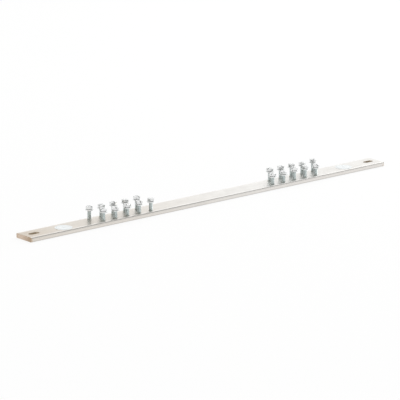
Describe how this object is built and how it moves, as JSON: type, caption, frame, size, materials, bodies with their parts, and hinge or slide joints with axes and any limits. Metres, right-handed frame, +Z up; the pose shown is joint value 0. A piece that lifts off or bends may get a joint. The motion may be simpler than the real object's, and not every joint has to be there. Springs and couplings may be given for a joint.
{
  "type": "earth terminal bar",
  "caption": "Tinned copper earthing bar with staggered hexagon-head terminal screws in two groups, a slotted fixing hole at each end and round labels.",
  "frame": {"origin": "middle of the bar's underside, halfway along its length and width", "axes": "+X along the bar to its right end, +Y to the back row of screws, +Z up through the screws"},
  "size_m": [0.584, 0.03, 0.0228],
  "materials": {
    "tinned_copper": "satin tin plating on copper",
    "zinc_screw": "bright zinc plating",
    "zinc_washer": "bright zinc plating",
    "label": "matt film"
  },
  "bodies": {
    "root": {"earth_bar": "tinned_copper", "screw_left_back_1": "zinc_screw", "washer_left_back_1": "zinc_washer", "screw_left_back_2": "zinc_screw", "washer_left_back_2": "zinc_washer", "screw_left_back_3": "zinc_screw", "washer_left_back_3": "zinc_washer", "screw_left_back_4": "zinc_screw", "washer_left_back_4": "zinc_washer", "screw_left_back_5": "zinc_screw", "washer_left_back_5": "zinc_washer", "screw_left_front_1": "zinc_screw", "washer_left_front_1": "zinc_washer", "screw_left_front_2": "zinc_screw", "washer_left_front_2": "zinc_washer", "screw_left_front_3": "zinc_screw", "washer_left_front_3": "zinc_washer", "screw_left_front_4": "zinc_screw", "washer_left_front_4": "zinc_washer", "screw_left_front_5": "zinc_screw", "washer_left_front_5": "zinc_washer", "screw_right_back_1": "zinc_screw", "washer_right_back_1": "zinc_washer", "screw_right_back_2": "zinc_screw", "washer_right_back_2": "zinc_washer", "screw_right_back_3": "zinc_screw", "washer_right_back_3": "zinc_washer", "screw_right_back_4": "zinc_screw", "washer_right_back_4": "zinc_washer", "screw_right_back_5": "zinc_screw", "washer_right_back_5": "zinc_washer", "screw_right_front_1": "zinc_screw", "washer_right_front_1": "zinc_washer", "screw_right_front_2": "zinc_screw", "washer_right_front_2": "zinc_washer", "screw_right_front_3": "zinc_screw", "washer_right_front_3": "zinc_washer", "screw_right_front_4": "zinc_screw", "washer_right_front_4": "zinc_washer", "screw_right_front_5": "zinc_screw", "washer_right_front_5": "zinc_washer", "label_left": "label", "label_right": "label"}
  },
  "joints": []
}
